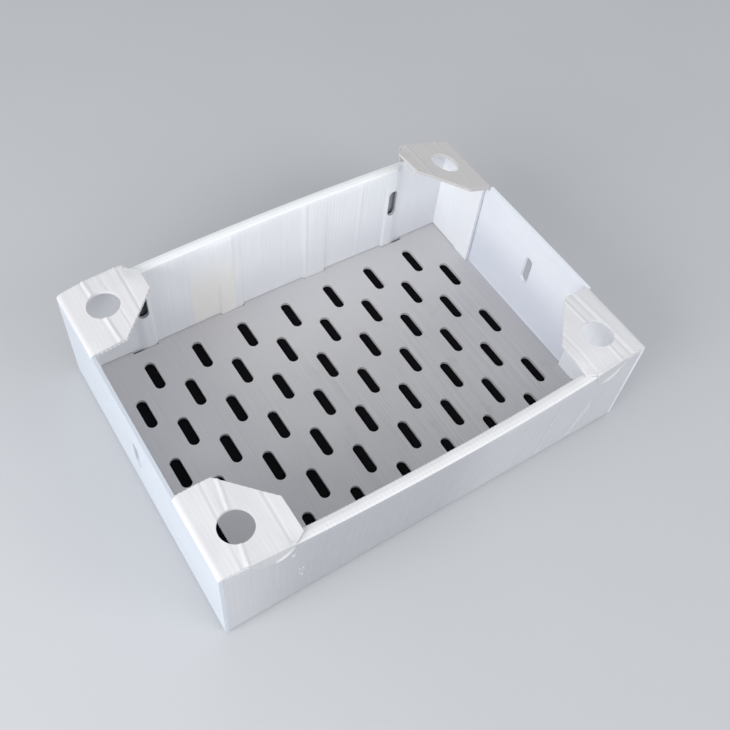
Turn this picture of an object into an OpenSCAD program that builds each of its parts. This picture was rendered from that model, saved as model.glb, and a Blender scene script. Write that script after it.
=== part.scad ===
// Open tray folded from one sheet of white fluted plastic board.
// X runs along the long walls, Y along the short walls, Z up.
// The origin is at the middle of the underside.
// A long wall is double: its outer wall, a flat rim and an inner panel.
// A short wall is single, and two corner flaps fold in from its top.
// Distances called inset are measured from the outer face of a short wall.

/* [Overall] */
// Length over the two short walls
tray_l = 500; // [440:10:640]
// Width over the feet of the two long walls
tray_w = 356; // [300:2:460]
// Height to the top of the corner flaps
tray_h = 136; // [110:1:200]

/* [Board] */
// Thickness of the fluted board
board_t = 4; // [3:0.25:5]
// Distance from one flute to the next
flute_pitch = 4.5; // [3.5:0.25:8]
// Skin over and under a flute, at an open flute end
skin_t = 0.6; // [0.6:0.1:1]
// Rib between two flutes, at an open flute end
rib_t = 0.9; // [0.5:0.1:1.5]
// Depth to which the flutes stay open behind a cut edge
flute_depth = 6; // [2:0.5:12]

/* [Folds] */
// Inner radius of the fold between the floor and a wall
foot_fold_r = 1; // [0.5:0.25:3]
// Inner radius of the soft fold between a short wall and its flap
flap_fold_r = 4; // [1:0.5:8]

/* [Long walls] */
// Width of the flat rim on top of a long wall
rim_w = 14; // [11:0.5:24]
// Outward bow of the rim at mid-length
rim_bow = 8; // [0:0.5:14]
// Outward bow of the inner panel's foot at mid-length
panel_foot_bow = 5; // [0:0.5:6]
// Inset of the step where the inner panel turns out to the outer wall
step_inset = 82; // [60:1:110]
// Length of that step along the wall
step_l = 12; // [6:1:24]
// Clearance between the turned-out panel and the outer wall
panel_gap = 0.5; // [0.2:0.1:1.5]
// Gap between the floor and an inner panel's foot
foot_gap = 1; // [0.5:0.25:3]
// Reach of the panel's end tab along the short wall
end_tab_reach = 83; // [60:1:110]

/* [Locking tabs] */
// Number of locking tabs along one inner panel
lock_count = 4; // [2:1:4]
// Distance from one locking tab to the next
lock_pitch = 115; // [60:1:125]
// Width of a locking tab
lock_w = 30; // [16:1:44]
// Width of the tongue at the foot of an end tab
tongue_w = 25; // [12:1:40]
// Thickness that a locking tab loses on each face when it is pressed in
lock_squeeze = 0.3; // [0.1:0.1:0.6]
// Clearance of a locking tab or tongue in its floor slot
lock_gap = 0.6; // [0.3:0.1:1.5]
// Spare length of a tongue's slot past the end tab
tongue_spare = 3; // [1:0.5:8]

/* [Vent slots] */
// Length of a vent slot
vent_l = 40; // [20:1:60]
// Width of a vent slot
vent_w = 12.5; // [6:0.5:18]
// Distance from one column of floor slots to the next
vent_pitch_x = 30; // [26:1:60]
// Distance from one row of floor slots to the next
vent_pitch_y = 42.5; // [36:0.5:80]
// Least distance from a column's middle to a short wall's outer face
vent_margin_x = 36; // [30:1:80]
// Least distance from a slot's end to a long wall's foot
vent_margin_y = 28; // [24:1:80]
// Height of the middle of the upright slots in the walls
wall_vent_z = 77; // [50:1:100]
// Inset of the upright slot in a long wall's inner panel
panel_vent_inset = 83; // [60:1:120]

/* [Corner flaps] */
// Length of a flap along the short wall
flap_l = 90; // [70:1:120]
// Reach of a flap from the short wall
flap_reach = 86; // [70:1:110]
// Length of the edge that a flap keeps square to the short wall
flap_end_l = 38; // [20:1:60]
// Length of the edge that a flap keeps parallel to the short wall
flap_side_l = 43; // [20:1:60]
// Corner that is trimmed off a flap where its free edge meets the long wall
flap_trim = 12; // [2:1:16]
// Angle by which the flap at the far right corner has sprung up
sprung_angle = 15; // [0:1:20]
// Diameter of the hole in a flap
hole_d = 35; // [16:1:40]
// Distance of the hole's middle from both outer faces
hole_inset = 37; // [32:1:42]
// Inset of the crease through the hole
crease_inset = 41; // [20:1:50]
// Inset of the crease near a flap's free edge
edge_crease_inset = 69; // [55:1:80]
// Width of a crease
crease_w = 2; // [1:0.5:4]
// Depth of a crease
crease_d = 0.4; // [0.2:0.05:0.5]

/* [Weld tabs] */
// Length of the fold of the half-round tab on a flap's outer edge
weld_tab_l = 44; // [24:1:60]
// Drop of the half-round tab down the long wall
weld_tab_drop = 17; // [10:1:22]
// Inset of the middle of the half-round tab
weld_tab_inset = 52; // [40:1:60]
// Thickness that the welded tab stands proud of the wall
weld_tab_proud = 2; // [1:0.25:4]

/* [Hidden] */
board_colour = [0.92, 0.93, 0.95];
round_fn = 48;
arc_steps = 4;
wall_steps = 20;
fold_steps = 8;
half_l = tray_l / 2;
half_w = tray_w / 2;
// Half the length between the two short walls
run = half_l - board_t;
// Outer radii of the two kinds of fold
foot_r = foot_fold_r + board_t;
flap_r = flap_fold_r + board_t;
// Top of the rims, on which the corner flaps lie
rim_z = tray_h - board_t;
// Foot of the inner panels
panel_z = board_t + foot_gap;
step_start = half_l - step_inset;
step_end = step_start + step_l;
vent_columns = floor((half_l - vent_margin_x) / vent_pitch_x);
vent_rows = floor((half_w - vent_margin_y - vent_l / 2) / vent_pitch_y);
flap_slope = (flap_l - flap_side_l) / (flap_reach - flap_end_l);
// Height to which a locking tab runs up inside its panel
lock_root = board_t / 2;
through = 2 * tray_h;
cut = 1;

// Share of the full bow at a place along a long wall
function bow_share(x) = 1 - pow(x / run, 2);

// Inner face of a long wall's inner panel, at its top and at its foot
function panel_top(x) = half_w + rim_bow * bow_share(x) - rim_w;
function panel_foot(x) = half_w + panel_foot_bow * bow_share(x) - rim_w;
function turned_top(x) = half_w + rim_bow * bow_share(x) - 2 * board_t - panel_gap;
function turned_foot() = half_w - 2 * board_t - panel_gap;
function face_top(x) = abs(x) < step_start + step_l / 2 ? panel_top(x) : turned_top(x);
function face_foot(x) = abs(x) < step_start + step_l / 2 ? panel_foot(x) : turned_foot();

// Places along a long wall at which its section is drawn
STATIONS = concat(
    [-run, -step_end],
    [for (i = [0 : wall_steps]) step_start * (2 * i / wall_steps - 1)],
    [step_end, run]
);
function stations_between(a, b) = concat([a], [for (x = STATIONS) if (x > a && x < b) x], [b]);
function reversed(list) = [for (i = [len(list) - 1 : -1 : 0]) list[i]];

// Points [y, z] of a quarter circle at the foot of a long wall
function foot_arc(r, from, to) = [
    for (i = [0 : arc_steps])
        let (a = from + (to - from) * i / arc_steps)
        [half_w - foot_r + r * cos(a), foot_r + r * sin(a)]
];

// Section [y, z] of a long wall: foot, outer wall, rim and inner panel
function wall_section(x) =
    let (bow = rim_bow * bow_share(x))
    concat(
        foot_arc(foot_r, -90, 0),
        [
            [half_w + bow, rim_z],
            [face_top(x), rim_z],
            [face_foot(x), panel_z],
            [face_foot(x) + board_t, panel_z],
            [face_top(x) + board_t, rim_z - board_t],
            [half_w + bow - board_t, rim_z - board_t]
        ],
        foot_arc(foot_fold_r, 0, -90)
    );

// Triangles between two neighbouring rings of n points
function ring_faces(ring, n) = [
    for (k = [0 : n - 1], half = [0, 1])
        let (a = ring * n + k, b = ring * n + (k + 1) % n)
        half == 0 ? [a, b + n, b] : [a, a + n, b + n]
];

// Outline of the inner panel's foot from a to b along the wall
function foot_band(a, b, grow) =
    let (xs = stations_between(a, b))
    concat(
        [for (x = xs) [x, foot_between(x) - grow]],
        [for (x = reversed(xs)) [x, foot_between(x) + board_t + grow]]
    );

// The panel's foot, also inside the step
function foot_between(x) =
    abs(x) <= step_start ? panel_foot(x)
    : abs(x) >= step_end ? turned_foot()
    : let (s = (abs(x) - step_start) / step_l)
      (1 - s) * panel_foot(step_start) + s * turned_foot();

// Distance of a flap's free edge and of its outer edge from the long wall, at inset u
function flap_edge(u) = u < flap_end_l ? flap_l : flap_l - (u - flap_end_l) * flap_slope;
function flap_outer_edge(u) = max(0, u - flap_reach + flap_trim);

// Draws its children at both ends of the tray
module both_ends() {
    children();
    mirror([1, 0, 0]) children();
}

// Draws its children on both long sides of the tray
module both_sides() {
    children();
    mirror([0, 1, 0]) children();
}

// Rounded slot of the vents, standing along Y and cut along Z
module vent_slot(depth) {
    straight = vent_l - vent_w;
    linear_extrude(height = depth, center = true) {
        square([vent_w, straight], center = true);
        for (s = [-1, 1])
            translate([0, s * straight / 2]) circle(d = vent_w, $fn = round_fn);
    }
}

module floor_vents() {
    for (i = [-vent_columns : vent_columns], j = [-vent_rows : vent_rows])
        if (abs((i + j) % 2) == 1)
            translate([i * vent_pitch_x, j * vent_pitch_y, 0]) vent_slot(through);
}

// Floor slots that take the locking tabs and the end tabs' tongues
module lock_slots() {
    for (i = [0 : lock_count - 1]) {
        x = (i - (lock_count - 1) / 2) * lock_pitch;
        translate([0, 0, -cut]) linear_extrude(height = board_t + cut)
            polygon(foot_band(x - lock_w / 2 - lock_gap, x + lock_w / 2 + lock_gap, lock_gap));
    }
    tongue_end = half_w - end_tab_reach;
    translate([run - board_t - lock_gap, tongue_end - tongue_spare, -cut])
        cube([board_t + lock_gap, tongue_w + tongue_spare + lock_gap, board_t + cut]);
}

module floor_panel() {
    inner_l = tray_l - 2 * foot_r;
    inner_w = tray_w - 2 * foot_r;
    translate([-inner_l / 2, -inner_w / 2, 0]) cube([inner_l, inner_w, board_t]);
}

// Four-sided faces that close one end of a wall whose section has n points
function end_faces(first, n) = [
    for (k = [0 : n / 2 - 2]) [first + k, first + k + 1, first + n - 2 - k, first + n - 1 - k]
];

// Long wall on the +Y side, as one section drawn along the tray
module long_wall() {
    sections = [for (x = STATIONS) wall_section(x)];
    n = len(sections[0]);
    last = len(STATIONS) - 1;
    points = [for (i = [0 : last], p = sections[i]) [STATIONS[i], p[0], p[1]]];
    sides = [for (ring = [0 : last - 1], f = ring_faces(ring, n)) f];
    far_end = [for (f = end_faces(last * n, n)) reversed(f)];
    polyhedron(points = points, faces = concat(end_faces(0, n), sides, far_end), convexity = 8);
}

// Locking tabs at the foot of the +Y inner panel
module lock_tabs() {
    for (i = [0 : lock_count - 1]) {
        x = (i - (lock_count - 1) / 2) * lock_pitch;
        linear_extrude(height = panel_z + lock_root)
            polygon(foot_band(x - lock_w / 2, x + lock_w / 2, -lock_squeeze));
    }
}

// End of the inner panel, folded along the inside of the +X short wall
module end_tab() {
    tab_end = half_w - end_tab_reach;
    tab_start = turned_foot() + board_t / 2;
    translate([run - board_t, tab_end, panel_z])
        cube([board_t, tab_start - tab_end, rim_z - foot_gap - panel_z]);
    translate([run - board_t, tab_end, 0]) cube([board_t, tongue_w, panel_z + lock_root]);
}

// Quarter ring of a fold, with its middle at the origin
module fold_ring(r_in, r_out) {
    intersection() {
        difference() {
            circle(r = r_out, $fn = round_fn);
            circle(r = r_in, $fn = round_fn);
        }
        square(r_out + cut);
    }
}

// Outline [y, z] of a short wall, seen along X
module short_wall_outline() {
    right_half = concat(
        foot_arc(foot_r, -90, 0),
        [
            [half_w, tray_h - flap_r],
            [half_w - flap_l, tray_h - flap_r],
            [half_w - flap_l, tray_h]
        ]
    );
    polygon(concat(right_half, [for (p = reversed(right_half)) [-p[0], p[1]]]));
}

// Profile [x, z] of the +X short wall with its foot fold
module short_wall_profile() {
    translate([half_l - board_t, foot_r]) square([board_t, tray_h - foot_r]);
    translate([half_l - foot_r, foot_r]) mirror([0, 1]) fold_ring(foot_fold_r, foot_r);
}

module short_wall() {
    intersection() {
        rotate([90, 0, 0]) linear_extrude(height = tray_w, center = true) short_wall_profile();
        translate([half_l - foot_r - cut, 0, 0]) rotate([90, 0, 90])
            linear_extrude(height = foot_r + 2 * cut) short_wall_outline();
    }
}

// Upright vent slot in the middle of the +X short wall
module short_wall_vent() {
    translate([half_l - board_t / 2, 0, wall_vent_z]) rotate([90, 0, 90]) vent_slot(4 * board_t);
}

// Upright vent slot in the +Y inner panel, at its step
module panel_vent() {
    depth = rim_w + board_t;
    translate([half_l - panel_vent_inset, half_w - board_t - depth / 2, wall_vent_z])
        rotate([90, 0, 0]) vent_slot(depth);
}

// Plan of a corner flap, with the tray's corner at the origin
module flap_plan() {
    polygon([
        [-cut, 0],
        [-cut, flap_l],
        [flap_end_l, flap_l],
        [flap_reach, flap_side_l],
        [flap_reach, flap_trim],
        [flap_reach - flap_trim, 0]
    ]);
}

// One face of a flap, seen along the short wall: its soft fold, and its flat beyond
function flap_face(r, lift) = concat(
    [
        for (i = [0 : fold_steps])
            let (a = 180 - (90 - lift) * i / fold_steps)
            [flap_r + r * cos(a), tray_h - flap_r + r * sin(a)]
    ],
    [[
        flap_r - r * sin(lift) + flap_reach * cos(lift),
        tray_h - flap_r + r * cos(lift) + flap_reach * sin(lift)
    ]]
);

// Strip of board that a flap is cut from
module flap_strip(lift) {
    rotate([90, 0, 180]) mirror([1, 0, 0]) linear_extrude(height = flap_l)
        polygon(concat(flap_face(flap_r, lift), reversed(flap_face(flap_fold_r, lift))));
}

// Turns its children up about the middle of a flap's fold
module about_fold(lift) {
    translate([flap_r, 0, tray_h - flap_r]) rotate([0, -lift, 0])
        translate([-flap_r, 0, flap_r - tray_h]) children();
}

// Creases across a flap's top, along the flutes
module flap_creases() {
    for (u = [crease_inset, edge_crease_inset])
        translate([u, 0, tray_h]) rotate([-90, 0, 0]) linear_extrude(height = 2 * flap_l, center = true)
            polygon([[-crease_w / 2, -cut], [-crease_w / 2, 0], [0, crease_d], [crease_w / 2, 0], [crease_w / 2, -cut]]);
}

// Open flute ends along a flap's cut edges
module flute_ends() {
    cell = [flute_pitch - rib_t, flute_depth + flute_pitch, board_t - 2 * skin_t];
    count = floor((flap_reach - flap_r) / flute_pitch);
    for (i = [0 : count - 1]) {
        u = flap_r + (i + 0.5) * flute_pitch;
        z = tray_h - board_t / 2;
        beside_weld_tab = abs(u - weld_tab_inset) > (weld_tab_l + flute_pitch) / 2;
        translate([u, flap_edge(u) - flute_depth + cell[1] / 2, z]) cube(cell, center = true);
        if (beside_weld_tab)
            translate([u, flap_outer_edge(u) + flute_depth - cell[1] / 2, z]) cube(cell, center = true);
    }
}

// Half-round tab that turns down over the long wall and is welded to it
module weld_tab() {
    chord = weld_tab_l / 2;
    root = board_t / 4;
    sag = weld_tab_drop - 2 * root;
    r = (chord * chord + sag * sag) / (2 * sag);
    bow = rim_bow * bow_share(half_l - weld_tab_inset);
    depth = root + bow + weld_tab_proud;
    intersection() {
        translate([weld_tab_inset, root, tray_h - weld_tab_drop + r])
            rotate([90, 0, 0]) cylinder(r = r, h = depth, $fn = 2 * round_fn);
        translate([weld_tab_inset - chord, root - depth, tray_h - weld_tab_drop])
            cube([weld_tab_l, depth, weld_tab_drop - root]);
    }
}

// Corner flap, with the tray's corner at the origin and the tray towards +X and +Y
module corner_flap(lift) {
    difference() {
        union() {
            intersection() {
                flap_strip(lift);
                about_fold(lift) linear_extrude(height = through) flap_plan();
            }
            about_fold(lift) weld_tab();
        }
        about_fold(lift) {
            translate([hole_inset, hole_inset, rim_z - cut])
                cylinder(d = hole_d, h = board_t + 2 * cut, $fn = 2 * round_fn);
            flap_creases();
            flute_ends();
        }
    }
}

// Four corner flaps, of which the far right one has sprung up
module corner_flaps() {
    both_sides() translate([-half_l, -half_w, 0]) corner_flap(0);
    mirror([1, 0, 0]) {
        translate([-half_l, -half_w, 0]) corner_flap(0);
        mirror([0, 1, 0]) translate([-half_l, -half_w, 0]) corner_flap(sprung_angle);
    }
}

module folded_tray() {
    color(board_colour) {
        difference() {
            union() {
                floor_panel();
                both_sides() long_wall();
                both_ends() short_wall();
            }
            floor_vents();
            both_sides() both_ends() lock_slots();
            both_ends() short_wall_vent();
            both_sides() both_ends() panel_vent();
        }
        both_sides() lock_tabs();
        both_sides() both_ends() end_tab();
        corner_flaps();
    }
}

folded_tray();
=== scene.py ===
"""Looks of an open tray folded from one sheet of white fluted plastic board.

Lengths are in millimetres until a mesh is made, and then in metres. X runs along the
long walls, Y along the short walls and Z up. The origin is at the middle of the underside.
"""

import math

import bmesh
import bpy
import numpy as np
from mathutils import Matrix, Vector


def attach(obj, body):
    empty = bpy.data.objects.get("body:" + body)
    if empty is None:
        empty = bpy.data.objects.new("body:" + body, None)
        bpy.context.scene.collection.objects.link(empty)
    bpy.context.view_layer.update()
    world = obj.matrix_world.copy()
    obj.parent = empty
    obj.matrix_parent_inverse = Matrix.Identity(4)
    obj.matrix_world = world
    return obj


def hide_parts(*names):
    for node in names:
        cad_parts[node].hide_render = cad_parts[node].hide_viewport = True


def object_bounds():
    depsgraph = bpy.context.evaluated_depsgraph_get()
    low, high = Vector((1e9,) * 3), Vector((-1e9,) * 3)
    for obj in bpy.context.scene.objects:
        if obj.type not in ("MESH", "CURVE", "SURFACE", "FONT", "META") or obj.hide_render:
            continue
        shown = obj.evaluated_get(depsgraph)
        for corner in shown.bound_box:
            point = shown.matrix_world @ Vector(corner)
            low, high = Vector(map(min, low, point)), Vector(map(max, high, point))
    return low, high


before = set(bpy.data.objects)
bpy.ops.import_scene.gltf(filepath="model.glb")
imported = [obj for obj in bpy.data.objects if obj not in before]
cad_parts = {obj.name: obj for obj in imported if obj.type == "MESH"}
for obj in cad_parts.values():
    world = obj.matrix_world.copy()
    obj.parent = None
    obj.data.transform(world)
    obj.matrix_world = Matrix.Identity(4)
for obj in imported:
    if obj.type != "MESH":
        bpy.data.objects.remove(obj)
CAD_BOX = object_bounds()

MM = 0.001
BODY = "root"
NODE = "folded_tray"

# Overall sizes
LENGTH = round((CAD_BOX[1].x - CAD_BOX[0].x) / MM)
WIDTH = 356.0
FLAP_TOP = 136.0
HALF_L = LENGTH / 2
HALF_W = WIDTH / 2

# Board
BOARD = 4.0
HALF_T = BOARD / 2
PITCH = 4.5
COLUMN = PITCH / 4
RIB = 0.9
PINCH = 0.8
DIMPLE = 1.0
SINK = 0.09
FLOOR_SAG = 0.22

# Long walls
RUN = HALF_L - BOARD
RIM_Z = FLAP_TOP - BOARD
RIM_W = 14.0
RIM_BOW = 8.0
FOOT_BOW = 5.0
STEP_START = 168.0
STEP_END = 180.0
PANEL_GAP = 0.5
PANEL_Z = 5.0
FOOT_R = 5.0
CREASE_R = 1.6
CRUSH = 0.62
SERRATION = 0.12
WALL_ROWS = 34
RIM_ROWS = 16

# Locking tabs
LOCK_COUNT = 4
LOCK_PITCH = 115.0
LOCK_W = 30.0
LOCK_GAP = 0.6
FOOT_SLACK = 2.5
TONGUE_W = 25.0
END_TAB_REACH = 83.0

# Slots
VENT_L = 40.0
VENT_W = 12.5
VENT_PITCH_X = 30.0
VENT_PITCH_Y = 42.5
VENT_COLUMNS = 7
VENT_ROWS = 3
WALL_VENT_Z = 77.0
PANEL_VENT_INSET = 83.0

# Corner flaps
FLAP_FOLD_R = 3.5
FLAP_L = 90.0
HOLE_D = 35.0
HOLE_INSET = 37.0
BEAD = 0.3
PRESS = 1.5

# Marks on the board: width and length in metres, and the seed of the noise
STREAKS = (0.0016, 0.12, 3.1)
CLOUDS = (0.035, 0.09, 8.4)
SMUDGES = (0.022, 0.030, 21.0)
GLOSS = (0.004, 0.05, 14.0)
GRAIN = (0.0011, 0.06, 5.2)
RIB_LINE_W = 0.0006
RIB_SHADE = 0.55
SMUDGE_COLOUR = (0.30, 0.27, 0.24)

# Stage
GROUND = 6.0
UNDERLAY_INSET = 8.0

# Camera
CAMERA_AT = (-347.3, -454.9, 873.5)
CAMERA_TURN = (34.866, -4.389, -32.772)
CAMERA_LENS = 44.44

SEED = 11
rng = np.random.default_rng(SEED)
FLUTE_SINKS = rng.uniform(0.45, 1.6, 800)
FLUTE_LIFTS = rng.normal(0, 0.035, 800)


# Mesh helpers

def make_object(name, vertices, faces, materials, zones=None, angle=38):
    """A mesh object from points in millimetres, closed and with its normals outwards."""
    mesh = bpy.data.meshes.new(name)
    mesh.from_pydata((np.asarray(vertices, float) * MM).tolist(), [], faces)
    for material in materials:
        mesh.materials.append(material)
    if zones is not None:
        mesh.polygons.foreach_set("material_index", np.asarray(zones, np.int32))
    tidy(mesh, angle)
    piece = bpy.data.objects.new(name, mesh)
    bpy.context.scene.collection.objects.link(piece)
    return piece


def tidy(mesh, angle=38):
    """Turns the normals outwards and shades the mesh smooth, apart from its sharp edges."""
    work = bmesh.new()
    work.from_mesh(mesh)
    bmesh.ops.remove_doubles(work, verts=work.verts, dist=2e-6)
    bmesh.ops.dissolve_degenerate(work, edges=work.edges, dist=1e-6)
    bmesh.ops.recalc_face_normals(work, faces=work.faces)
    work.to_mesh(mesh)
    work.free()
    mesh.polygons.foreach_set("use_smooth", [True] * len(mesh.polygons))
    mesh.set_sharp_from_angle(angle=math.radians(angle))
    mesh.update()


def slab(outer, inner, zone_of_row=None, edge_zone=0, back_zone=0):
    """Vertices, faces and zones of a closed sheet between two grids of points."""
    rows, columns = outer.shape[:2]
    vertices = np.concatenate([outer.reshape(-1, 3), inner.reshape(-1, 3)])
    back = rows * columns
    index = np.arange(back).reshape(rows, columns)
    a, b = index[:-1, :-1].ravel(), index[1:, :-1].ravel()
    c, d = index[1:, 1:].ravel(), index[:-1, 1:].ravel()
    faces = np.concatenate([np.stack([a, b, c, d], 1), np.stack([d, c, b, a], 1) + back])
    row = np.repeat(np.arange(rows - 1), columns - 1)
    zone = np.zeros(rows - 1, int) if zone_of_row is None else np.asarray(zone_of_row)
    zones = np.concatenate([zone[row], np.full(len(row), back_zone) if back_zone else zone[row]])
    border = np.concatenate([index[0, :], index[1:, -1], index[-1, -2::-1], index[-2:0:-1, 0]])
    following = np.roll(border, -1)
    rim = np.stack([border, following, following + back, border + back], 1)
    faces = np.concatenate([faces, rim])
    zones = np.concatenate([zones, np.full(len(rim), edge_zone)])
    return vertices, faces.tolist(), zones


def prism(outline, low, high, axis=2):
    """A closed prism on an outline, cut square at both ends, to be used as a cutter."""
    flat = np.asarray(outline, float)
    n = len(flat)
    rest = [i for i in range(3) if i != axis]
    points = np.zeros((2 * n, 3))
    points[:n, rest] = flat
    points[n:, rest] = flat
    points[:n, axis] = low
    points[n:, axis] = high
    sides = [[i, (i + 1) % n, n + (i + 1) % n, n + i] for i in range(n)]
    return points, [list(range(n)), list(range(n, 2 * n)), *sides]


def merged(parts):
    """One list of vertices and faces out of several."""
    vertices, faces, base = [], [], 0
    for points, polygons in parts:
        vertices.append(np.asarray(points, float))
        faces += [[base + i for i in polygon] for polygon in polygons]
        base += len(points)
    return np.concatenate(vertices), faces


def carve(piece, parts, operation="DIFFERENCE", angle=38):
    """Cuts closed parts out of a piece, or keeps only what lies in them."""
    cutter = make_object("cutter", *merged(parts), [])
    modifier = piece.modifiers.new("carve", "BOOLEAN")
    modifier.operation = operation
    modifier.solver = "EXACT"
    modifier.object = cutter
    graph = bpy.context.evaluated_depsgraph_get()
    mesh = bpy.data.meshes.new_from_object(piece.evaluated_get(graph))
    piece.modifiers.clear()
    piece.data = mesh
    bpy.data.objects.remove(cutter)
    tidy(mesh, angle)
    return piece


def finish_piece(piece):
    """Every piece of the one folded sheet rides on the tray's only body."""
    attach(piece, BODY)
    return piece


# Shapes that repeat

def bow_share(x):
    return 1 - (x / RUN) ** 2


def smooth_step(x):
    x = np.clip(x, 0, 1)
    return x * x * (3 - 2 * x)


def flute(s):
    """Height of the board's skin at a place across the flutes: it sinks between two ribs."""
    s = np.asarray(s, float)
    cell = np.floor(s / PITCH).astype(int) + 400
    hollow = np.sin(np.pi * s / PITCH) ** 2
    return -SINK * FLUTE_SINKS[cell] * hollow + FLUTE_LIFTS[cell] * hollow


def flute_stations(low, high):
    """Places across the flutes, four to a flute, with both ends."""
    inside = np.arange(math.ceil(low / COLUMN), math.floor(high / COLUMN) + 1) * COLUMN
    inside = inside[(inside > low + 0.2) & (inside < high - 0.2)]
    return np.concatenate([[low], inside, [high]])


def rounded_path(corners, radii, steps=5):
    """Points along a bent line whose inner corners are arcs, and the arc of each, 0 for none."""
    points, arc_of = [np.array(corners[0], float)], [0]
    bends = zip(corners, corners[1:], corners[2:], radii)
    for number, (before, corner, after, radius) in enumerate(bends, 1):
        before, corner, after = (np.array(p, float) for p in (before, corner, after))
        a = (before - corner) / np.linalg.norm(before - corner)
        b = (after - corner) / np.linalg.norm(after - corner)
        half = math.acos(np.clip(a @ b, -1, 1)) / 2
        centre = corner + (a + b) / np.linalg.norm(a + b) * radius / math.sin(half)
        start = corner + a * radius / math.tan(half) - centre
        end = corner + b * radius / math.tan(half) - centre
        sweep = math.pi - 2 * half
        for i in range(steps + 1):
            t = i / steps
            p = (math.sin((1 - t) * sweep) * start + math.sin(t * sweep) * end) / math.sin(sweep)
            points.append(centre + p)
            arc_of.append(number)
    points.append(np.array(corners[-1], float))
    arc_of.append(0)
    return points, arc_of


def filled(points, arc_of, breaks):
    """Adds points along the straight stretches of a path, at shares of each stretch."""
    path, arcs = [points[0]], [arc_of[0]]
    straight = 0
    for p, q, p_arc, q_arc in zip(points, points[1:], arc_of, arc_of[1:]):
        if p_arc != q_arc:
            for share in breaks[straight]:
                path.append(p + (q - p) * share)
                arcs.append(0)
            straight += 1
        path.append(q)
        arcs.append(q_arc)
    return np.array(path), np.array(arcs)


def normals_2d(path):
    """Left-hand normals along a line of points."""
    step = np.gradient(path, axis=0)
    step /= np.linalg.norm(step, axis=1)[:, None]
    return np.stack([-step[:, 1], step[:, 0]], 1)


def rounded_slot(length, width, steps=12):
    """Outline of a slot with round ends, along the second axis."""
    r, straight = width / 2, (length - width) / 2
    angles = np.linspace(0, math.pi, steps + 1)
    top = np.stack([r * np.cos(angles), straight + r * np.sin(angles)], 1)
    return np.concatenate([top, -top])


def placed(part, offset):
    return np.asarray(part[0]) + np.asarray(offset, float), part[1]


# Materials

def new_material(name):
    """A material with nodes, its tree and its shader."""
    material = bpy.data.materials.new(name)
    material.use_nodes = True
    return material, material.node_tree, material.node_tree.nodes["Principled BSDF"]


def object_place(tree):
    """Place on the object in metres."""
    return tree.nodes.new("ShaderNodeTexCoord").outputs["Object"]


def drawn_noise(tree, where, along, width, length, seed):
    """Noise of one width that is drawn out along an axis."""
    mapping = tree.nodes.new("ShaderNodeMapping")
    scale = [1 / width] * 3
    scale[along] = 1 / length
    mapping.inputs["Scale"].default_value = scale
    mapping.inputs["Location"].default_value = (seed, 0.7 * seed, 0.3 * seed)
    tree.links.new(where, mapping.inputs["Vector"])
    texture = tree.nodes.new("ShaderNodeTexNoise")
    texture.inputs["Scale"].default_value = 1.0
    texture.inputs["Detail"].default_value = 3.0
    tree.links.new(mapping.outputs["Vector"], texture.inputs["Vector"])
    return texture.outputs["Fac"]


def ranged(tree, value, low, high, to_low, to_high):
    """A value brought smoothly from one range to another."""
    node = tree.nodes.new("ShaderNodeMapRange")
    node.interpolation_type = "SMOOTHSTEP"
    limits = {"From Min": low, "From Max": high, "To Min": to_low, "To Max": to_high}
    for key, number in limits.items():
        node.inputs[key].default_value = number
    tree.links.new(value, node.inputs["Value"])
    return node.outputs["Result"]


def mixed(tree, factor, first, second):
    """Two colours, each written out or a socket, mixed by a factor."""
    node = tree.nodes.new("ShaderNodeMix")
    node.data_type = "RGBA"
    tree.links.new(factor, node.inputs["Factor"])
    for key, value in (("A", first), ("B", second)):
        socket = next(s for s in node.inputs if s.name == key and s.type == "RGBA")
        if isinstance(value, tuple):
            socket.default_value = (*value, 1)
        else:
            tree.links.new(value, socket)
    return next(s for s in node.outputs if s.type == "RGBA")


def multiplied(tree, first, second):
    node = tree.nodes.new("ShaderNodeMath")
    node.operation = "MULTIPLY"
    tree.links.new(first, node.inputs[0])
    tree.links.new(second, node.inputs[1])
    return node.outputs[0]


def rib_lines(tree, place):
    """1 on a rib of the board and 0 beside it, from a place across the flutes."""
    node = tree.nodes.new("ShaderNodeMath")
    node.operation = "PINGPONG"
    tree.links.new(place, node.inputs[0])
    node.inputs[1].default_value = PITCH * MM / 2
    return ranged(tree, node.outputs[0], 0.0, RIB_LINE_W, 1.0, 0.0)


def box_share(tree, axes, low, high, soft):
    """1 in a box with soft sides and 0 outside it. Where an edge is None, there is no side."""
    share = None
    for axis in range(3):
        for edge, turn in ((low[axis], (0, 1)), (high[axis], (1, 0))):
            if edge is not None:
                side = ranged(tree, axes[axis], edge - soft[axis], edge + soft[axis], *turn)
                share = side if share is None else multiplied(tree, share, side)
    return share


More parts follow.
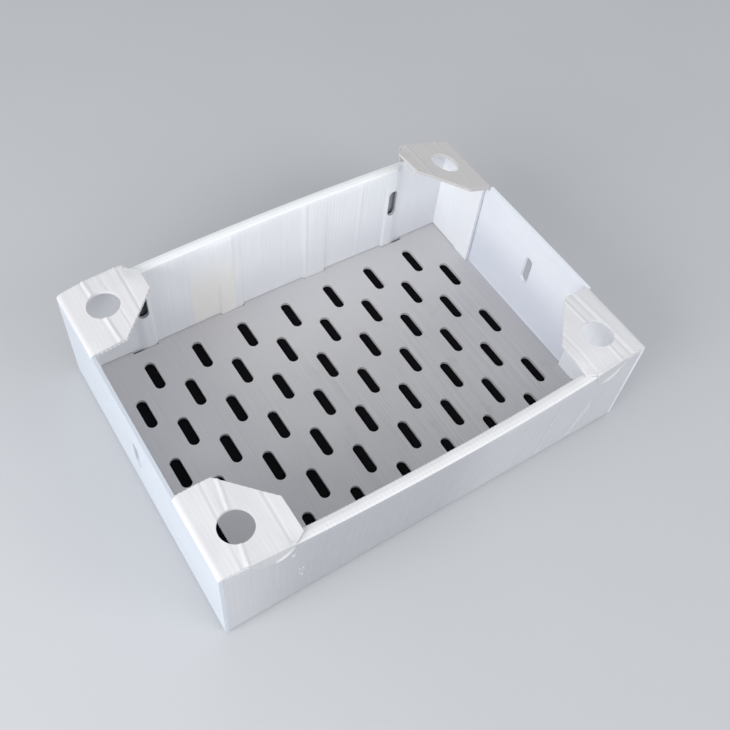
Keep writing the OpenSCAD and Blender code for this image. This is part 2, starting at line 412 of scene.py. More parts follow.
def board_colour(tree, where, colour, along, across, shade, streak, cloud, smudge, patches):
    """Colour of the board: streaks, clouding, rib lines, smudges and patches, in that order. Most patches
    are painted light and painted shade.
    """
    def scaled(factor):
        return tuple(c * factor for c in colour)

    separate = tree.nodes.new("ShaderNodeSeparateXYZ")
    tree.links.new(where, separate.inputs["Vector"])
    streaks = ranged(tree, drawn_noise(tree, where, along, *STREAKS), 0.35, 0.65, 0.0, 1.0)
    clouds = ranged(tree, drawn_noise(tree, where, along, *CLOUDS), 0.35, 0.68, 0.0, 1.0)
    ribs = rib_lines(tree, separate.outputs[across])
    base = mixed(tree, streaks, scaled(1 - streak), colour)
    base = mixed(tree, ranged(tree, clouds, 0, 1, 0.0, 1.0), base, scaled(1 - cloud))
    base = mixed(tree, ranged(tree, ribs, 0, 1, 0.0, shade), base, scaled(RIB_SHADE))
    if smudge:
        spots = drawn_noise(tree, where, along, *SMUDGES)
        base = mixed(tree, ranged(tree, spots, 0.60, 0.76, 0.0, smudge), base, SMUDGE_COLOUR)
    for patch_colour, low, high, soft in patches:
        base = mixed(tree, box_share(tree, separate.outputs, low, high, soft), base, patch_colour)
    return base


def board_material(name, colour, along, across, shade=0.06, streak=0.05, cloud=0.04, smudge=0.0,
                   roughness=0.42, patches=()):
    """White fluted board, which lets a little light into it.

    along is the axis that the flutes follow and across the one that counts them, 0 for X, 1 for Y
    and 2 for Z. shade, streak, cloud and smudge are how strong the rib lines and the marks are. A
    patch is another colour and the box that it covers, in metres: low and high edges and softness.
    """
    material, tree, shader = new_material(name)
    where = object_place(tree)
    marks = (shade, streak, cloud, smudge)
    base = board_colour(tree, where, colour, along, across, *marks, patches)
    tree.links.new(base, shader.inputs["Base Color"])
    gloss = drawn_noise(tree, where, along, *GLOSS)
    gloss = ranged(tree, gloss, 0.3, 0.7, roughness - 0.06, roughness + 0.08)
    tree.links.new(gloss, shader.inputs["Roughness"])
    bump = tree.nodes.new("ShaderNodeBump")
    bump.inputs["Strength"].default_value = 0.35
    bump.inputs["Distance"].default_value = 0.0003
    tree.links.new(drawn_noise(tree, where, along, *GRAIN), bump.inputs["Height"])
    tree.links.new(bump.outputs["Normal"], shader.inputs["Normal"])
    shader.inputs["Subsurface Weight"].default_value = 0.12
    shader.inputs["Subsurface Radius"].default_value = (1.0, 1.0, 1.0)
    shader.inputs["Subsurface Scale"].default_value = 0.003
    shader.inputs["IOR"].default_value = 1.49
    return material


def floor_material():
    material, tree, shader = new_material("pale_ground")
    shader.inputs["Roughness"].default_value = 0.75
    noise = tree.nodes.new("ShaderNodeTexNoise")
    noise.inputs["Scale"].default_value = 3.0
    ramp = tree.nodes.new("ShaderNodeValToRGB")
    ramp.color_ramp.elements[0].color = (0.56, 0.57, 0.59, 1)
    ramp.color_ramp.elements[1].color = (0.60, 0.61, 0.63, 1)
    tree.links.new(object_place(tree), noise.inputs["Vector"])
    tree.links.new(noise.outputs["Fac"], ramp.inputs["Fac"])
    tree.links.new(ramp.outputs["Color"], shader.inputs["Base Color"])
    return material


def dark_material():
    material, _, shader = new_material("dark_underlay")
    shader.inputs["Base Color"].default_value = (0.008, 0.008, 0.009, 1)
    shader.inputs["Roughness"].default_value = 1.0
    shader.inputs["Specular IOR Level"].default_value = 0.0
    return material


def everywhere(low=(None, None, None), high=(None, None, None), soft=(1, 1, 1)):
    """Edges and softness of a patch, open on every side that isn't named."""
    return low, high, soft


def wall_materials():
    """Materials of the long walls' outer face, rim, inner panel and hidden side, painted with light and
    shade.
    """
    # Painted shade: shade darkens the outer walls' face from about x -0.195 to 0.03 m.
    shade = ((0.462, 0.472, 0.505), (-0.195, None, None), (0.03, None, None), (0.05, 1, 1))
    # Painted light: far_rim lightens the far rim. left_rim darkens the near rim towards its left end.
    far_rim = ((0.93, 0.945, 0.96), *everywhere((None, 0.05, None), soft=(1, 0.01, 1)))
    left_rim = ((0.78, 0.78, 0.79), *everywhere(high=(-0.10, 0.0, None), soft=(0.03, 0.01, 1)))
    # Painted shade: low_panel darkens the inner panel towards its foot, and end_panel darkens its left end
    # as the painted shadow of the left far corner flap.
    low_panel = ((0.85, 0.86, 0.90), *everywhere(high=(None, None, 0.05), soft=(1, 1, 0.035)))
    end_panel = ((0.82, 0.825, 0.86), *everywhere(high=(-0.14, None, None), soft=(0.015, 1, 1)))
    cream = ((0.92, 0.905, 0.87), (-0.108, None, None), (-0.052, None, 0.085), (0.004, 1, 0.035))
    # Painted light: lit lightens the hidden side at positive x.
    lit = ((0.52, 0.54, 0.57), *everywhere((0.0, None, None), soft=(0.01, 1, 1)))
    rims, panels = (far_rim, left_rim), (low_panel, end_panel, cream)
    return [
        # Painted shade: the outer walls are painted grey-blue, darker than the same board inside.
        board_material("outer_wall", (0.595, 0.608, 0.638), 2, 0, streak=0.035, patches=(shade,)),
        board_material("rim", (0.85, 0.85, 0.86), 1, 0, shade=0.08, streak=0.03, patches=rims),
        board_material("inner_panel", (0.925, 0.945, 0.985), 2, 0, streak=0.03, patches=panels),
        # Painted shade: the sheet's hidden side, facing the space between outer wall and inner panel, is
        # painted near black.
        board_material("cavity_side", (0.16, 0.16, 0.17), 2, 0, streak=0.03, patches=(lit,)),
    ]


def tray_floor_material():
    # Painted light: the first patch lightens the floor's left end and far lightens its far side.
    left_painted_light = ((0.67, 0.665, 0.68), *everywhere(high=(-0.09, None, None), soft=(0.12, 1, 1)))
    far = ((0.64, 0.632, 0.645), *everywhere((None, 0.07, None), soft=(1, 0.07, 1)))
    # Painted shade: the tray floor is painted grey for the walls' shade and for light lost through the
    # board into the dark ground.
    return board_material("tray_floor", (0.575, 0.568, 0.578), 1, 0, shade=0.17, streak=0.11,
                          smudge=0.17, roughness=0.5, patches=(left_painted_light, far))


def end_materials():
    """Materials of the left and the right short wall and of the end tabs, painted with light and shade."""
    # Painted shade: low_wall darkens the right wall towards its foot, and left_tabs darkens the end tabs
    # at negative x, which lie under the left corner flaps.
    low_wall = ((0.73, 0.76, 0.84), *everywhere(high=(None, None, 0.07), soft=(1, 1, 0.03)))
    left_tabs = ((0.80, 0.82, 0.86), *everywhere(high=(0.0, None, None), soft=(0.01, 1, 1)))
    return (
        # Painted shade and painted light: one board, painted darker on the left wall, where the key lamp
        # falls, and lighter on the right wall.
        board_material("left_wall", (0.64, 0.69, 0.76), 1, 2, streak=0.03),
        board_material("right_wall", (0.86, 0.895, 0.955), 1, 2, streak=0.03, patches=(low_wall,)),
        board_material("end_tab", (0.93, 0.95, 0.99), 2, 1, streak=0.03, patches=(left_tabs,)),
    )


# The floor

def floor_panel(material):
    """Floor between the foot folds, with its drain slots and the slots for the locking tabs."""
    end_x, end_y = HALF_L - FOOT_R, HALF_W - FOOT_R
    xs = flute_stations(-end_x, end_x)
    ys = np.linspace(-end_y, end_y, 33)
    x, y = np.meshgrid(xs, ys, indexing="ij")
    middle = np.cos(np.pi * x / LENGTH) * np.cos(np.pi * y / WIDTH)
    sag = FLOOR_SAG * np.sin(x / 61 + 1.1) * np.sin(y / 47 + 0.4) * middle
    top = np.stack([x, y, BOARD + flute(x) + sag], 2)
    under = np.stack([x, y, 0 - 0.3 * flute(x)], 2)
    piece = make_object("floor_panel", *slab(top, under)[:2], [material])
    carve(piece, floor_slots(), angle=30)
    return piece


def floor_slots():
    """Cutters for the drain slots and for the locking tabs' slots in the floor."""
    slot = prism(rounded_slot(VENT_L, VENT_W), -2, 2 * BOARD)
    cutters = []
    for i in range(-VENT_COLUMNS, VENT_COLUMNS + 1):
        for j in range(-VENT_ROWS, VENT_ROWS + 1):
            if (i + j) % 2:
                cutters.append(placed(slot, (i * VENT_PITCH_X, j * VENT_PITCH_Y, 0)))
    for side in (-1, 1):
        for x in lock_places():
            y = side * (panel_foot(x) + HALF_T)
            w, d = LOCK_W / 2 + LOCK_GAP, HALF_T + LOCK_GAP
            box = [(x - w, y - d), (x + w, y - d), (x + w, y + d), (x - w, y + d)]
            cutters.append(prism(box, -2, 2 * BOARD))
    return cutters


def lock_places():
    return [(i - (LOCK_COUNT - 1) / 2) * LOCK_PITCH for i in range(LOCK_COUNT)]


# Long walls

def panel_top(x):
    return HALF_W + RIM_BOW * bow_share(x) - RIM_W


def panel_foot(x):
    return HALF_W + FOOT_BOW * bow_share(x) - RIM_W


def turned(x):
    """Share by which the inner panel has turned out to the outer wall at x."""
    return smooth_step((abs(x) - STEP_START) / (STEP_END - STEP_START))


def lock_share(x):
    """1 where a locking tab stands, falling to 0 beside it."""
    nearest = min(abs(x - place) for place in lock_places())
    return float(smooth_step((LOCK_W / 2 + 1.5 - nearest) / 3))


def wall_section(x):
    """Middle line of a long wall's board at x, as points [y, z], with its arcs."""
    bow = RIM_BOW * bow_share(x)
    t = turned(x)
    top = (1 - t) * panel_top(x) + t * (HALF_W + bow - 2 * BOARD - PANEL_GAP)
    foot = (1 - t) * panel_foot(x) + t * (HALF_W - 2 * BOARD - PANEL_GAP)
    lock = lock_share(x)
    foot += (1 - lock) * FOOT_SLACK * (1 - t)
    foot_z = PANEL_Z - lock * (PANEL_Z - 1)
    corners = [
        (HALF_W - FOOT_R, HALF_T),
        (HALF_W - HALF_T, HALF_T),
        (HALF_W + bow - HALF_T, RIM_Z - HALF_T),
        (top + HALF_T, RIM_Z - HALF_T),
        (foot + HALF_T, foot_z),
    ]
    points, arc_of = rounded_path(corners, (FOOT_R - HALF_T - 0.001, CREASE_R, CREASE_R))
    wall = (*np.linspace(0.03, 0.95, WALL_ROWS - 10), 0.97, 0.985)
    panel = (0.015, 0.04, 0.12, 0.25, 0.4, 0.55, 0.7, 0.85, 0.96)
    return filled(points, arc_of, ((), wall, (0.06, 0.14, 0.3, 0.5, 0.7, 0.86, 0.94), panel))


def crush_along(path, arcs):
    """Share of its thickness that the board keeps, and nearness to the rim's two creases."""
    crease = path[arcs > 1]
    distance = np.min(np.linalg.norm(path[:, None, :] - crease[None], axis=2), axis=1)
    near = np.exp(-((distance / 2.2) ** 2))
    return 1 - (1 - CRUSH) * near, near


def ridge(value, centre, width, height):
    """A soft ridge or groove of that height across a line at centre."""
    return height * np.exp(-(((value - centre) / width) ** 2))


def far_panel_marks(x, z):
    """Upright creases of the far inner panel, in millimetres towards the tray."""
    marks = 1.2 / (1 + np.exp((x + 51 + 0.02 * (RIM_Z - z)) / 0.7)) * smooth_step((x + 112) / 50)
    marks += ridge(x, -16, 1.3, 0.4) + ridge(x, 13, 1.3, -0.4)
    marks += ridge(x, 42, 3.0, 0.8) + ridge(x, 48, 1.8, -0.5)
    marks += ridge(x, 120, 1.5, 0.6) + ridge(x, -110, 1.4, -0.5)
    return marks + 0.25 * np.sin(x / 23) * np.sin(z / 41 + 1)


def near_wall_marks(x, z):
    """Dents of the near outer wall, in millimetres outwards."""
    line_x = 137 - 0.025 * (114 - z)
    marks = ridge(x, line_x, 1.2, -0.9) + ridge(x, line_x + 2.4, 1.5, 0.5)
    bulge_x = 194.6 - 0.24 * (71 - z)
    reach = smooth_step((78 - z) / 14) * smooth_step((z - 6) / 14)
    marks += reach * (ridge(x, bulge_x, 2.0, 2.4) + ridge(x, bulge_x - 5, 3, -0.8))
    return marks + 0.3 * np.sin(x / 31 + 2) * np.sin(z / 37)


def wall_marks(x, path, near, side):
    """Dents and creases of a long wall along its section at x, none at its creased rim and foot."""
    marks = np.zeros(len(path))
    place = np.arange(len(path))
    wall = place < WALL_ROWS
    panel = place > WALL_ROWS + RIM_ROWS
    if side > 0:
        marks[panel] = far_panel_marks(x, path[panel, 1])
    else:
        marks[wall] = near_wall_marks(x, path[wall, 1])
        marks[panel] = 0.3 * np.sin(x / 27)
    return marks * np.clip(1 - near, 0, 1) * np.clip((path[:, 1] - 4) / 8, 0, 1)


def wall_lines(x, side):
    """Points of a long wall's front and back along its section at x."""
    path, arcs = wall_section(x)
    keep, near = crush_along(path, arcs)
    normal = -normals_2d(path)
    half = HALF_T * keep
    lift = flute(x) * (1 - near) + near * SERRATION * math.cos(2 * math.pi * x / PITCH)
    marks = wall_marks(x, path, near, side)
    out = path + normal * (half + lift + marks)[:, None]
    back = path - normal * (half - marks)[:, None]
    return [np.column_stack([np.full(len(path), x), side * p[:, 0], p[:, 1]]) for p in (out, back)]


def long_wall(name, side, materials):
    """Outer wall, rim and inner panel of one long side, as one sheet drawn along X."""
    lines = np.array([wall_lines(x, side) for x in flute_stations(-RUN, RUN)])
    outer, inner = np.transpose(lines, (1, 2, 0, 3))
    zone = np.ones(len(outer) - 1, int)
    zone[:WALL_ROWS] = 0
    zone[WALL_ROWS + RIM_ROWS:] = 2
    vertices, faces, zones = slab(outer, inner, zone, edge_zone=1, back_zone=3)
    piece = make_object(name, vertices, faces, materials, zones)
    carve(piece, panel_slots(side), angle=34)
    return piece


def panel_slots(side):
    """Cutters for the two upright slots in an inner panel."""
    slot = rounded_slot(VENT_L, VENT_W)
    span = sorted([side * (HALF_W - BOARD - 22), side * (HALF_W - BOARD + 0.4)])
    return [
        placed(prism(slot, *span, axis=1), (end * (HALF_L - PANEL_VENT_INSET), 0, WALL_VENT_Z))
        for end in (-1, 1)
    ]


# Short walls

def short_wall(name, end, material):
    """One short wall with its foot fold, an upright slot and a plain cut edge at its top."""
    points, arc_of = rounded_path(
        [(HALF_L - FOOT_R, HALF_T), (HALF_L - HALF_T, HALF_T), (HALF_L - HALF_T, FLAP_TOP)],
        (FOOT_R - HALF_T - 0.001,),
    )
    stretch = FLAP_TOP - points[-2][1]
    shares = np.arange(COLUMN, stretch - 0.3, COLUMN) / stretch
    path, _ = filled(points, arc_of, ((), shares))
    normal = -normals_2d(path)
    along = np.concatenate([[0], np.cumsum(np.linalg.norm(np.diff(path, axis=0), axis=1))])
    skin = flute(HALF_L - FOOT_R + along)
    offset = normal * (HALF_T + skin)[:, None]
    outer = np.array([short_wall_row(p, end) for p in path + offset])
    inner = np.array([short_wall_row(p, end) for p in path - offset])
    piece = make_object(name, *slab(outer, inner)[:2], [material])
    return carve(piece, short_wall_cutters(end), angle=34)


def short_wall_row(p, end):
    """Points across a short wall at one point of its section. It is rounded at its foot."""
    shares = np.linspace(-1, 1, 49)
    low = max(0.0, FOOT_R - p[1])
    y = shares * (HALF_W - FOOT_R + math.sqrt(max(0.0, FOOT_R ** 2 - low ** 2)))
    wave = 0.35 * np.sin(y / 52 + 0.7) * np.sin(np.clip(p[1], 0, FLAP_TOP) / 44)
    wave *= np.clip(1 - np.abs(shares) ** 8, 0, 1) * min(1, p[1] / 30)
    return np.column_stack([end * (p[0] + wave), y, np.full(len(y), p[1])])


def short_wall_cutters(end):
    """Cutters for the slot and for the two corners where the flaps begin."""
    span = sorted([end * (HALF_L - 3 * BOARD), end * (HALF_L + BOARD)])
    flap_side, wide = HALF_W - FLAP_L, HALF_W + BOARD
    top, high = FLAP_TOP - FLAP_FOLD_R - HALF_T, FLAP_TOP + BOARD
    corner = [(flap_side, top), (wide, top), (wide, high), (flap_side, high)]
    slot = prism(rounded_slot(VENT_L, VENT_W), *span, axis=0)
    return [
        prism(corner, *span, axis=0),
        prism([(-y, z) for y, z in corner], *span, axis=0),
        placed(slot, (0, 0, WALL_VENT_Z)),
    ]


def end_tab(name, end, side, material):
    """End of an inner panel, folded along the inside of a short wall."""
    free, corner = HALF_W - END_TAB_REACH, HALF_W - 2 * BOARD - PANEL_GAP + 0.5
    ys = flute_stations(free, corner)
    zs = np.linspace(PANEL_Z, RIM_Z - 1, 14)
    y, z = np.meshgrid(ys, zs, indexing="ij")
    lean = 0.25 + 0.7 * np.clip((corner - y) / (corner - free), 0, 1) ** 2
    middle = HALF_L - BOARD - HALF_T - lean
    face = np.stack([end * (middle - HALF_T - flute(y)), side * y, z], 2)
    back = np.stack([end * (middle + HALF_T), side * y, z], 2)
    parts = [slab(face, back)[:2]]
    tongue = [(free, 0.5), (free + TONGUE_W, 0.5), (free + TONGUE_W, PANEL_Z + 1), (free, PANEL_Z + 1)]
    low, high = sorted([end * (HALF_L - 2 * BOARD - 1), end * (HALF_L - BOARD - 1)])
    parts.append(prism([(side * v, w) for v, w in tongue], low, high, axis=0))
    return make_object(name, *merged(parts), [material], angle=34)


# Corner flaps

# lift: degrees that the flap stands up. twist: millimetres that its inner corner stands higher.
# settle: millimetres that its edge over the long wall comes down onto the rim.
# plan: length, end edge, reach, side edge and cut corner.
# bends: place across the flap at its outer and its inner edge, degrees that the board turns
# there, and the height and width of the crease. tab: middle, half length and drop of the weld
# tab, and half thickness of the beads along its edge, which run between the shares in beads.
FLAPS = {
    "left_near": {
        "end": -1, "side": -1, "lift": 2.6, "twist": 0.0, "settle": 0.0,
        "plan": (91, 39.5, 86, 41.5, 3),
        "bends": ((24, 29, -4.0, -0.45, 1.2), (29, 45, 1.0, 1.0, 1.5), (72, 74, 1.5, -0.5, 1.3)),
        "tab": (52, 22, 21, 0.7), "beads": (0.1, 0.97),
    },
    "left_far": {
        "end": -1, "side": 1, "lift": 8.0, "twist": 0.0, "settle": 2.0,
        "plan": (88, 39, 86, 41, 11),
        "bends": ((31, 34, -6.0, 1.1, 1.5), (48, 52, 1.0, -0.3, 1.2), (69, 66, 0.5, -0.6, 1.3)),
        "tab": (52, 22, 19, 0.4), "beads": (-0.9, 0.9),
    },
    "right_near": {
        "end": 1, "side": -1, "lift": 6.0, "twist": 0.0, "settle": 3.3,
        "plan": (92, 36, 80, 44, 3),
        "bends": ((23, 28, -4.0, -1.0, 2.0), (37, 41, -1.0, 0.8, 1.4), (70, 73, 0.5, -0.5, 1.3)),
        "tab": (48.5, 21, 27, 0.8), "beads": (-0.98, 0.4),
    },
    "right_far": {
        "end": 1, "side": 1, "lift": 15.9, "twist": 2.5, "settle": 0.0,
        "plan": (89, 35.5, 83, 45, 9),
        "bends": ((24, 28, 1.5, 0.4, 1.6), (41, 46, -2.0, -0.5, 1.4), (69, 72, -1.0, 0.4, 1.4)),
        "tab": (52, 22, 19, 0.4), "beads": (-0.9, 0.9),
    },
}


def flap_path(lift, bends, reach):
    """Middle line of a flap's board [inset, z] along the flutes' count, its length and headings."""
    arc = FLAP_FOLD_R * math.radians(90 - lift)
    total = arc + reach - FLAP_FOLD_R
    s = np.arange(0, total + 6, COLUMN)
    fine = np.linspace(0, s[-1], 6 * len(s))
    heading = np.radians(90 - (90 - lift) * np.clip(fine / arc, 0, 1))
    for low, high, turn, _, _ in bends:
        place = arc + (low + high) / 2 - FLAP_FOLD_R - HALF_T
        heading = heading + math.radians(turn) * smooth_step((fine - place + 1.2) / 2.4)
    step = fine[1] - fine[0]
    u = HALF_T + np.concatenate([[0], np.cumsum(np.cos(heading[:-1]) * step)])
    z = FLAP_TOP - FLAP_FOLD_R - HALF_T + np.concatenate([[0], np.cumsum(np.sin(heading[:-1]) * step)])
    path = np.stack([np.interp(s, fine, u), np.interp(s, fine, z)], 1)
    return s, path, np.interp(s, fine, heading), arc


def corner_flap(name, spec, material):
    """Corner flap of hollow board, cut to its outline, with its hole and open flutes."""
    flap_l, end_l, reach, side_l, cut = spec["plan"]
    s, path, heading, arc = flap_path(spec["lift"], spec["bends"], reach)
    normal = np.stack([-np.sin(heading), np.cos(heading)], 1)
    vs = np.concatenate([[-RIM_BOW], np.linspace(0, flap_l + 4, 25)])
    top = np.repeat(0.6 * flute(s + 0.5 * PITCH)[:, None], len(vs), axis=1)
    for low, high, _, rise, width in spec["bends"]:
        place = arc + low + (high - low) * vs[None, :] / 90 - FLAP_FOLD_R - HALF_T
        top += ridge(s[:, None], place, width, rise)
        top += ridge(s[:, None], place - 2.6 * width, width, -0.4 * rise)
    press = smooth_step((path[:, 0, None] - 64) / 16) * smooth_step((20 - vs[None, :]) / 18)

    def sheet(offset):
        grid = np.empty((len(s), len(vs), 3))
        grid[:, :, 0] = path[:, 0, None] + normal[:, 0, None] * offset
        grid[:, :, 1] = vs[None, :]
        grid[:, :, 2] = path[:, 1, None] + normal[:, 1, None] * offset
        return twisted(grid, spec)

    half = np.full_like(top, HALF_T)
    board = slab(sheet(half + top - PRESS * press), sheet(-half))[:2]
    piece = make_object(name, *board, [material], angle=30)
    carve(piece, [flap_outline(flap_l, end_l, reach, side_l, cut)], "INTERSECT", angle=30)
    carve(piece, flute_ends(s, path, normal, spec), angle=30)
    hole_s = arc + HOLE_INSET - FLAP_FOLD_R - HALF_T
    centre = np.array([np.interp(hole_s, s, path[:, 0]), np.interp(hole_s, s, path[:, 1])])
    carve(piece, [hole_cutter(centre, float(np.interp(hole_s, s, heading)))], angle=30)
    return piece


def twisted(points, spec):
    """Lifts a flap's points towards its inner corner and lets its outer edge down onto the rim."""
    reach, side_l = spec["plan"][2:4]
    along = np.clip(points[..., 0], 0, None) / reach
    points[..., 2] += spec["twist"] * along * np.clip(points[..., 1], 0, None) / side_l
    points[..., 2] -= spec["settle"] * smooth_step(along) * smooth_step((30 - points[..., 1]) / 28)
    return points


def flap_outline(flap_l, end_l, reach, side_l, cut):
    """Outline of a flap: its cut edges are beaded by the flutes, its outer edge bows as the wall."""
    def beads(u):
        return BEAD * math.cos(2 * math.pi * (u + 0.9) / PITCH)

    outer = [(u, -RIM_BOW * bow_share(HALF_L - u) + beads(u)) for u in np.arange(3, reach - 13, COLUMN)]
    slope = [(u, side_l + (flap_l - side_l) * (reach - u) / (reach - end_l) + beads(u))
             for u in np.arange(reach - 0.5, end_l, -COLUMN)]
    end = [(u, flap_l + beads(u)) for u in np.arange(end_l, 3, -COLUMN)]
    outline = [(-3, 0.0), *outer, (reach, cut), *slope, *end, (-3, flap_l)]
    return prism(outline, 60, 260)


def hole_cutter(centre, tilt):
    """Round cutter through a flap, square to the board there."""
    angles = np.linspace(0, 2 * math.pi, 73)[:-1]
    along = np.array([math.cos(tilt), 0, math.sin(tilt)])
    up = np.array([-math.sin(tilt), 0, math.cos(tilt)])
    across = np.array([0, 1, 0])
    middle = np.array([centre[0], HOLE_INSET, centre[1]])
    ring = [middle + HOLE_D / 2 * (math.cos(a) * along + math.sin(a) * across) for a in angles]
    n = len(ring)
    points = np.array([p - 6 * up for p in ring] + [p + 6 * up for p in ring])
    sides = [[i, (i + 1) % n, n + (i + 1) % n, n + i] for i in range(n)]
    return points, [list(range(n)), list(range(n, 2 * n)), *sides]


def flute_ends(s, path, normal, spec):
    """Shallow dimples between the ribs, where the die has pinched the flutes' open ends."""
    flap_l, end_l, reach, side_l, cut = spec["plan"]
    cells = []
    for i in range(1, int(s[-1] / PITCH)):
        columns = np.arange(4 * i, 4 * i + 5)
        if path[columns[-1], 0] > reach:
            break
        u = path[columns, 0]
        low = np.where(u < reach - 13, -RIM_BOW * bow_share(HALF_L - u), cut + u - reach)
        high = np.interp(u, (end_l, reach), (flap_l, side_l))
        for edge, away in ((low, -1), (high, 1)):
            grids = []
            for offset in (HALF_T - PINCH, PINCH - HALF_T):
                line = path[columns] + normal[columns] * offset
                grid = np.empty((5, 2, 3))
                grid[:, :, 0] = line[:, 0, None]
                grid[:, :, 2] = line[:, 1, None]
                grid[:, 0, 1] = edge - away * DIMPLE
                grid[:, 1, 1] = edge + away * 5
                grid[0] += (grid[1] - grid[0]) * (RIB / 2 / COLUMN)
                grid[-1] += (grid[-2] - grid[-1]) * (RIB / 2 / COLUMN)
                grids.append(twisted(grid, spec))
            cells.append(slab(*grids)[:2])
    return cells


def tab_line(u, edge, top, depth):
    """A weld tab's face at one place along it: over the flap's edge and down the wall."""
    line = [(edge + 4.0, top - 0.5), (edge + 1.4, top + 0.06), (edge, top - 0.35), (edge - 0.7, top - 1.3)]
    for share in np.linspace(0.1, 1.0, 11):
        ripple = 0.12 * math.sin(u / 2.6 + 9 * share) * share * (1 - share) * 4
        line.append((edge - 0.9 + 0.3 * share ** 2 + ripple, top - 1.5 - depth * share))
    return line


def tab_top(u, path, spec):
    """Height of a flap's upper face over the long wall."""
    top = np.array([[u, 0.0, np.interp(u, path[:, 0], path[:, 1]) + HALF_T]])
    return twisted(top, spec)[0, 2] - PRESS * smooth_step((u - 64) / 16)


def weld_tab(name, spec, materials):
    """Half-round tab that turns down over the long wall's outer face and is welded there."""
    middle, chord, drop, bead_r = spec["tab"]
    path = flap_path(spec["lift"], spec["bends"], spec["plan"][2])[1]
    outer, inner, edges = [], [], ([], [])
    first, last = spec["beads"]
    for c in np.linspace(-1, 1, 61):
        u = middle + chord * c
        edge = 0.5 - RIM_BOW * bow_share(HALF_L - u)
        top = tab_top(u, path, spec)
        depth = 0.6 + (top - FLAP_TOP + drop - 1.6) * math.sqrt(max(0.0, 1 - c * c))
        line = tab_line(u, edge, top, depth)
        if first <= c <= last:
            for bead, share in zip(edges, (1.0, 0.84)):
                bead.append((u - 0.7 * c * (1 - share) * chord, edge - 0.75, top - 1.5 - depth * share))
        outer.append([(u, v, z) for v, z in line])
        inner.append([(u, max(v, edge) + 1.6, z - 0.8 * (i < 2)) for i, (v, z) in enumerate(line)])
    fold_rows = [2, 2, 2] + [0] * (len(line) - 4)
    grids = [np.transpose(np.array(grid), (1, 0, 2)) for grid in (outer, inner)]
    vertices, faces, zones = slab(*grids, fold_rows)
    beads = [tube(bead, bead_r, 8) for bead in edges]
    zones = [*zones, *[1] * sum(len(polygons) for _, polygons in beads)]
    return make_object(name, *merged([(vertices, faces), *beads]), materials, zones, angle=50)


def mirrored_to_corner(piece, end, side):
    """Moves a mesh made in a corner's own insets to its corner of the tray."""
    for vertex in piece.data.vertices:
        u, v, z = vertex.co
        vertex.co = (end * (HALF_L * MM - u), side * (HALF_W * MM - v), z)
    tidy(piece.data, 30)
    return piece


# Weld marks

def tube(points, radius, sides=6):
    """A closed round tube along a line of points, thinner at its ends."""
    points = np.asarray(points, float)
    n = len(points)
    tangents = np.gradient(points, axis=0)
    tangents /= np.linalg.norm(tangents, axis=1)[:, None]
    vertices = []
    for i, (p, t) in enumerate(zip(points, tangents)):
        a = np.cross(t, (0, 1, 0.01))
        a /= np.linalg.norm(a)
        b = np.cross(t, a)
        r = radius * (0.35 + 0.65 * math.sin(math.pi * (i + 0.5) / n))
        for k in range(sides):
            angle = 2 * math.pi * k / sides
            vertices.append(p + r * (math.cos(angle) * a + 0.7 * math.sin(angle) * b))
    faces = []
    for i in range(n - 1):
        for k in range(sides):
            j = (k + 1) % sides
            faces.append([i * sides + k, i * sides + j, (i + 1) * sides + j, (i + 1) * sides + k])
    faces.append(list(range(sides)))
    faces.append([(n - 1) * sides + k for k in range(sides)])
    return np.array(vertices), faces


def weld_patch(x, z, width, height, spots):
    """Melted patch on the near wall: a sheet whose relief fades out into the wall's face."""
    px, pz = np.meshgrid(np.linspace(-1, 1, 41), np.linspace(-1, 1, 57), indexing="ij")
    fade = np.clip(1 - px ** 2, 0, 1) * np.clip(1 - pz ** 2, 0, 1)
    relief = np.zeros_like(px)
    for _ in range(spots):
        cx, cz = rng.uniform(-0.6, 0.6, 2)
        turn = rng.uniform(0.2, 1.4)
        along = (px - cx) * math.cos(turn) + (pz - cz) * math.sin(turn)
        across = (pz - cz) * math.cos(turn) - (px - cx) * math.sin(turn)
        relief += rng.uniform(0.3, 0.6) * np.exp(-(along / 0.30) ** 2 - (across / 0.17) ** 2)
    wx, wz = x + width / 2 * px, z + height / 2 * pz
    face = -(HALF_W + RIM_BOW * bow_share(wx) * wz / RIM_Z)
    out = np.stack([wx, face + 0.25 - fade * (0.3 + relief), wz], 2)
    back = np.stack([wx, face + 0.7, wz], 2)
    return slab(out, back)[:2]


def weld_drop(x, z, spread_x, spread_z):
    """A short drop at a random place round x and z on the near wall."""
    cx, cz = x + rng.uniform(-spread_x, spread_x), z + rng.uniform(-spread_z, spread_z)
    face = -(HALF_W + RIM_BOW * bow_share(cx) * cz / RIM_Z)
    turn, reach = rng.uniform(1.0, 1.9), rng.uniform(0.9, 2.2)
    steps = reach * np.linspace(-1, 1, 5)
    line = [(cx + t * math.cos(turn), face - 0.1, cz + t * math.sin(turn)) for t in steps]
    return tube(line, rng.uniform(0.5, 0.8))


def weld_marks(materials):
    """Melted places beside the near left tab, with a few whiter drops on them, partly whitened melt and
    partly painted highlights.
    """
    patches = [weld_patch(-176, 106, 13, 26, 5), weld_patch(-167, 60, 16, 34, 8)]
    drops = [weld_drop(-177.5, 114, 2.2, 6) for _ in range(5)]
    drops += [weld_drop(-168.5, 56, 3.2, 11) for _ in range(7)]
    zones = [0] * sum(len(faces) for _, faces in patches) + [1] * sum(len(faces) for _, faces in drops)
    return make_object("weld_marks", *merged(patches + drops), materials, zones, angle=60)


# Stage, light and camera

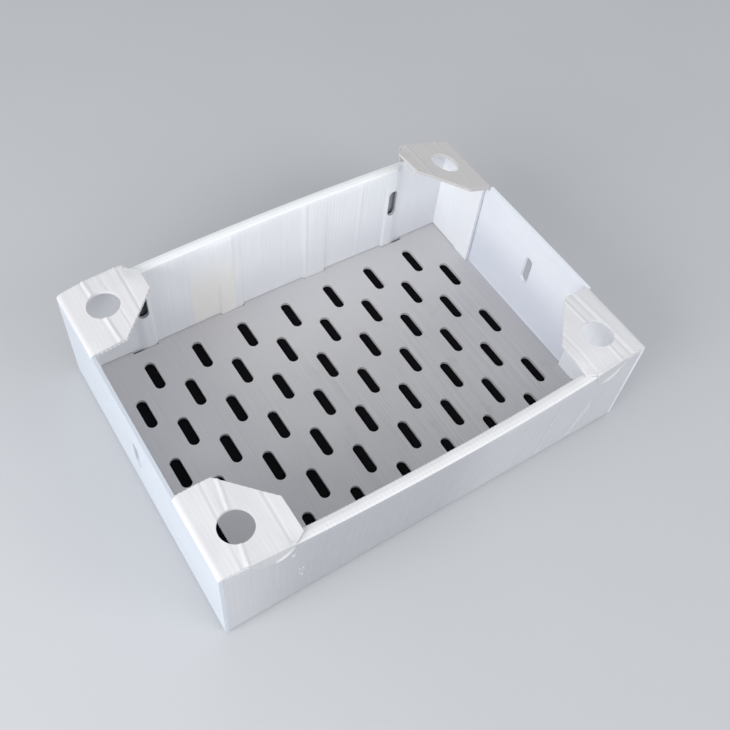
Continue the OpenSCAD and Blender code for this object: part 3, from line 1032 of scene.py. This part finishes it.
def flat_sheet(name, half_x, half_y, z, material):
    """A flat rectangle on the ground, in metres."""
    mesh = bpy.data.meshes.new(name)
    corners = [(-half_x, -half_y, 0), (half_x, -half_y, 0), (half_x, half_y, 0), (-half_x, half_y, 0)]
    mesh.from_pydata(corners, [], [[0, 1, 2, 3]])
    mesh.materials.append(material)
    sheet = bpy.data.objects.new(name, mesh)
    sheet.location.z = z
    bpy.context.scene.collection.objects.link(sheet)
    return sheet


def make_stage():
    """Pale ground, and under the tray a dark sheet that shows only through its slots."""
    ground = flat_sheet("ground", GROUND, GROUND, -0.0006, floor_material())
    half_x, half_y = (HALF_L - UNDERLAY_INSET) * MM, (HALF_W - UNDERLAY_INSET) * MM
    underlay = flat_sheet("underlay", half_x, half_y, -0.0003, dark_material())


def area_light(name, direction, distance, size, watts, colour=(1, 1, 1)):
    data = bpy.data.lights.new(name, "AREA")
    data.shape = "DISK"
    data.size = size
    data.energy = watts
    data.color = colour
    lamp = bpy.data.objects.new(name, data)
    away = Vector(direction).normalized()
    lamp.location = away * distance
    lamp.rotation_mode = "QUATERNION"
    lamp.rotation_quaternion = away.to_track_quat("Z", "Y")
    bpy.context.scene.collection.objects.link(lamp)


def make_lights():
    world = bpy.data.worlds.new("studio")
    world.use_nodes = True
    background = world.node_tree.nodes["Background"]
    background.inputs["Color"].default_value = (0.95, 0.97, 1.0, 1)
    background.inputs["Strength"].default_value = 0.6
    bpy.context.scene.world = world
    area_light("key", (-0.86, -0.20, 0.44), 2.0, 1.5, 27)
    area_light("fill", (0.45, -0.80, 0.45), 2.8, 2.2, 26)


def make_camera():
    data = bpy.data.cameras.new("camera")
    data.lens = CAMERA_LENS
    camera = bpy.data.objects.new("camera", data)
    camera.location = Vector(CAMERA_AT) * MM
    camera.rotation_euler = [math.radians(a) for a in CAMERA_TURN]
    bpy.context.scene.collection.objects.link(camera)
    bpy.context.scene.camera = camera


def make_corner(name, spec, skin, tab, bead, tab_end):
    """Flap, weld tab and end tab of one corner."""
    end, side = spec["end"], spec["side"]
    flap = corner_flap("flap_" + name, spec, skin)
    weld = weld_tab("weld_tab_" + name, spec, [tab, bead, skin])
    return [
        mirrored_to_corner(flap, end, side),
        mirrored_to_corner(weld, end, side),
        end_tab("end_tab_" + name, end, side, tab_end),
    ]


def make_tray():
    """All the pieces of the tray, in place of its CAD solid."""
    walls = wall_materials()
    left_end, right_end, tab_end = end_materials()
    flap = board_material("flap", (0.80, 0.795, 0.81), 1, 0, shade=0.03, streak=0.022, cloud=0.06)
    # Painted shade: sprung_flap is the flap board painted darker, as the sprung flap leans away from the
    # key lamp.
    sprung = board_material("sprung_flap", (0.70, 0.68, 0.675), 1, 0, shade=0.06, streak=0.05)
    # Painted shade: weld_tab is painted darker, for the shade under the flap's edge.
    tab = board_material("weld_tab", (0.60, 0.605, 0.635), 2, 0, streak=0.05, roughness=0.34)
    # weld_bead is whiter, partly as whitened melt and partly as a painted highlight on the beads and
    # drops.
    bead = board_material("weld_bead", (0.86, 0.865, 0.88), 2, 0, streak=0.03, roughness=0.3)
    pieces = [
        floor_panel(tray_floor_material()),
        long_wall("long_wall_near", -1, walls),
        long_wall("long_wall_far", 1, walls),
        short_wall("short_wall_left", -1, left_end),
        short_wall("short_wall_right", 1, right_end),
    ]
    for name, spec in FLAPS.items():
        skin = sprung if name == "right_far" else flap
        pieces += make_corner(name, spec, skin, tab, bead, tab_end)
    pieces.append(weld_marks([walls[0], bead]))
    for piece in pieces:
        finish_piece(piece)
    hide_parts(NODE)


make_camera()
make_lights()
make_stage()
make_tray()

scene = bpy.context.scene
scene.view_settings.view_transform = "Standard"
